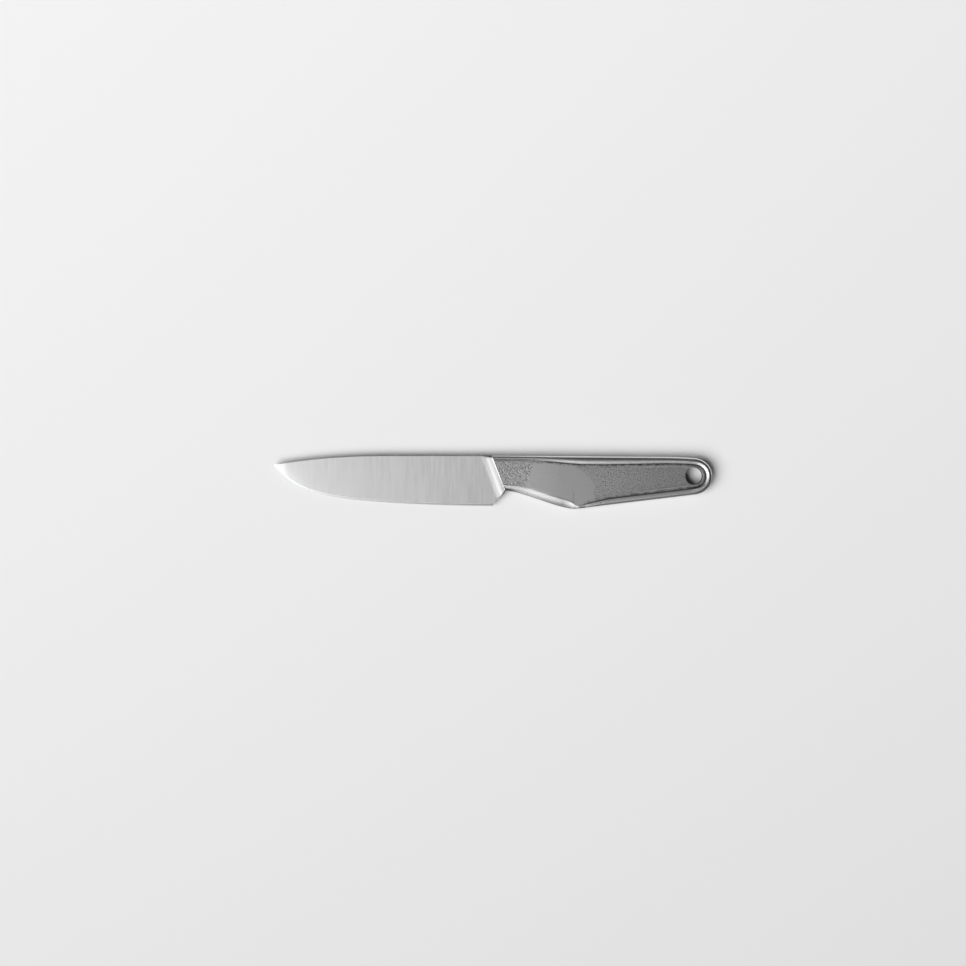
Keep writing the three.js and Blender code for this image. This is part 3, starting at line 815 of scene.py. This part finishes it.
class Steel:
    """A metal material under construction, with the nodes that its colour and finish are built from."""

    def __init__(self, name):
        self.material = bpy.data.materials.new(name)
        self.material.use_nodes = True
        self.nodes = self.material.node_tree.nodes
        self.links = self.material.node_tree.links
        self.shader = self.nodes["Principled BSDF"]
        self.shader.inputs["Metallic"].default_value = 1

    def mark(self, name):
        node = self.nodes.new("ShaderNodeAttribute")
        node.attribute_name = name
        return node.outputs["Fac"]

    def noise(self, per_metre, low, high):
        """Noise over the piece, with this many features to the metre along each axis.

        What lies below low is 0 and what lies above high is 1.
        """
        place = self.nodes.new("ShaderNodeTexCoord")
        scale = self.nodes.new("ShaderNodeMapping")
        scale.inputs["Scale"].default_value = per_metre
        node = self.nodes.new("ShaderNodeTexNoise")
        node.inputs["Scale"].default_value = 1
        node.inputs["Detail"].default_value = NOISE_DETAIL
        self.links.new(place.outputs["Object"], scale.inputs["Vector"])
        self.links.new(scale.outputs["Vector"], node.inputs["Vector"])
        spread = self.nodes.new("ShaderNodeMapRange")
        spread.inputs["From Min"].default_value = low
        spread.inputs["From Max"].default_value = high
        self.links.new(node.outputs["Fac"], spread.inputs["Value"])
        return spread.outputs["Result"]

    def between(self, share, low, high):
        """A value that goes from low to high as the share goes from 0 to 1."""
        node = self.nodes.new("ShaderNodeMapRange")
        self.links.new(share, node.inputs["Value"])
        for socket, value in (("To Min", low), ("To Max", high)):
            if isinstance(value, bpy.types.NodeSocket):
                self.links.new(value, node.inputs[socket])
            else:
                node.inputs[socket].default_value = value
        return node.outputs["Result"]

    def colour(self, share, start, end):
        """A colour that goes from start to end as the share goes from 0 to 1."""
        node = self.nodes.new("ShaderNodeMix")
        node.data_type = "RGBA"
        self.links.new(share, node.inputs["Factor"])
        for socket, value in ((node.inputs[6], start), (node.inputs[7], end)):
            if isinstance(value, bpy.types.NodeSocket):
                self.links.new(value, socket)
            else:
                socket.default_value = (*value, 1)
        return node.outputs[2]

    def shades(self, share, colour, spread):
        """A colour that goes from darker to lighter by the spread as the share goes from 0 to 1."""
        darker = [(1 - spread) * part for part in colour]
        lighter = [(1 + spread) * part for part in colour]
        return self.colour(share, darker, lighter)

    def finish(self, colour, roughness, grain, grain_height):
        bump = self.nodes.new("ShaderNodeBump")
        bump.inputs["Distance"].default_value = grain_height
        self.links.new(grain, bump.inputs["Height"])
        self.links.new(bump.outputs["Normal"], self.shader.inputs["Normal"])
        self.links.new(colour, self.shader.inputs["Base Color"])
        self.links.new(roughness, self.shader.inputs["Roughness"])
        return self.material


def ground_steel(name, colour, polished_shade, roughness):
    """Satin steel with fine grinding lines across the blade, and a darker colour of its own where the polish
    mark lies: painted shade that dims the highlights there.
    """
    steel = Steel(name)
    lines = steel.noise(GRINDING_LINES, *NOISE_RANGE)
    polish = steel.mark("polish")
    shades = steel.shades(lines, colour, GRINDING_SHADES)
    satin = steel.between(lines, roughness - GRINDING_ROUGHNESS, roughness + GRINDING_ROUGHNESS)
    return steel.finish(
        steel.colour(polish, shades, polished_shade),
        steel.between(polish, satin, POLISHED_ROUGHNESS * roughness),
        lines,
        GRINDING_DEPTH,
    )


def forged_steel(name, dull, bright, rough, smoothed):
    """Forged steel: rough mottled skin, smoother where it is ground, pale with wear and with painted sheen,
    dark with dirt and with painted shade.
    """
    steel = Steel(name)
    mottle = steel.noise(MOTTLE, *MOTTLE_RANGE)
    grain = steel.noise(FORGED_GRAIN, *NOISE_RANGE)
    polish = steel.mark("polish")
    skin = steel.shades(mottle, dull, FORGED_SHADES)
    smoothed_skin = steel.colour(polish, skin, steel.shades(mottle, bright, SMOOTHED_SHADES))
    clean = steel.colour(steel.mark("wear_and_sheen"), smoothed_skin, WEAR_AND_SHEEN_COLOUR)
    return steel.finish(
        steel.colour(steel.mark("grime_and_shade"), clean, GRIME_AND_SHADE_COLOUR),
        steel.between(polish, rough, smoothed),
        grain,
        FORGED_GRAIN_DEPTH,
    )


# Stage

def make_floor():
    mesh = bpy.data.meshes.new("floor")
    reach = FLOOR_REACH
    level = RIM_LOW.z - FLOOR_GAP
    corners = [(-reach, -reach, level), (reach, -reach, level), (reach, reach, level), (-reach, reach, level)]
    mesh.from_pydata(corners, [], [(0, 1, 2, 3)])
    floor = bpy.data.objects.new("floor", mesh)
    bpy.context.collection.objects.link(floor)
    material = bpy.data.materials.new("pale_floor")
    material.use_nodes = True
    nodes = material.node_tree.nodes
    links = material.node_tree.links
    place = nodes.new("ShaderNodeTexCoord")
    along = nodes.new("ShaderNodeVectorMath")
    along.operation = "DOT_PRODUCT"
    along.inputs[1].default_value = FLOOR_SHADE_DIRECTION
    # painted light and shade across the floor
    painted_floor_shade = nodes.new("ShaderNodeMapRange")
    painted_floor_shade.inputs["From Min"].default_value = -FLOOR_SHADE_REACH
    painted_floor_shade.inputs["From Max"].default_value = FLOOR_SHADE_REACH
    painted_floor_shade.inputs["To Min"].default_value = FLOOR_DARK
    painted_floor_shade.inputs["To Max"].default_value = FLOOR_LIGHT
    shader = nodes["Principled BSDF"]
    links.new(place.outputs["Object"], along.inputs[0])
    links.new(along.outputs["Value"], painted_floor_shade.inputs["Value"])
    links.new(painted_floor_shade.outputs["Result"], shader.inputs["Base Color"])
    shader.inputs["Roughness"].default_value = FLOOR_ROUGHNESS
    shader.inputs["Specular IOR Level"].default_value = FLOOR_GLOSS
    mesh.materials.append(material)


def aim(thing, place, target):
    thing.location = place
    thing.rotation_euler = (Vector(target) - Vector(place)).to_track_quat("-Z", "Y").to_euler()


def add_softbox(name, place, target, width, height, radiance):
    light = bpy.data.lights.new(name, "AREA")
    light.shape = "RECTANGLE"
    light.size = width
    light.size_y = height
    light.energy = math.pi * radiance * width * height
    lamp = bpy.data.objects.new(name, light)
    lamp.visible_camera = False
    bpy.context.collection.objects.link(lamp)
    aim(lamp, place, target)


def add_world():
    """A dim room, lighter overhead and towards the key light."""
    world = bpy.data.worlds.new("studio")
    world.use_nodes = True
    nodes = world.node_tree.nodes
    links = world.node_tree.links
    direction = nodes.new("ShaderNodeTexCoord")
    towards = nodes.new("ShaderNodeVectorMath")
    towards.operation = "DOT_PRODUCT"
    towards.inputs[1].default_value = Vector(ROOM_LIGHT_DIRECTION).normalized()
    level = nodes.new("ShaderNodeMapRange")
    level.inputs["From Min"].default_value = ROOM_LIGHT_START
    level.inputs["From Max"].default_value = 1
    level.inputs["To Min"].default_value = ROOM_DARK
    level.inputs["To Max"].default_value = ROOM_LIGHT
    links.new(direction.outputs["Generated"], towards.inputs[0])
    links.new(towards.outputs["Value"], level.inputs["Value"])
    links.new(level.outputs["Result"], nodes["Background"].inputs["Strength"])
    nodes["Background"].inputs["Color"].default_value = (1, 1, 1, 1)
    bpy.context.scene.world = world


def add_camera():
    data = bpy.data.cameras.new("camera")
    data.lens = CAMERA_LENS
    data.sensor_width = CAMERA_SENSOR
    camera = bpy.data.objects.new("camera", data)
    bpy.context.collection.objects.link(camera)
    height = ORIGIN[2] + PHOTO_WIDTH * CAMERA_LENS / CAMERA_SENSOR
    camera.location = (*CAMERA_AIM, height)
    bpy.context.scene.camera = camera


blade_steel = ground_steel("blade_satin", SATIN_COLOUR, polished_shade=(0.24, 0.24, 0.243), roughness=0.4)
make_blade(blade_steel)
bolster_steel = ground_steel("bolster_satin", SATIN_COLOUR, polished_shade=(0.18, 0.18, 0.182), roughness=0.42)
make_bolster(bolster_steel)

handle = handle_sections()
rim_steel = forged_steel(
    "rim_forged", dull=(0.45, 0.45, 0.454), bright=(0.45, 0.45, 0.455), rough=0.45, smoothed=0.39)
make_rim(rim_steel, handle)
web_steel = forged_steel(
    "web_forged", dull=(0.28, 0.28, 0.282), bright=(0.375, 0.375, 0.378), rough=0.52, smoothed=0.5)
make_web(web_steel, handle)

make_floor()
add_softbox("key", place=(-2.134, -1.386, 3.086), target=(0, 0, 0), width=4.0, height=3.2, radiance=5.55)
add_world()
add_camera()
bpy.context.scene.view_settings.view_transform = "Standard"
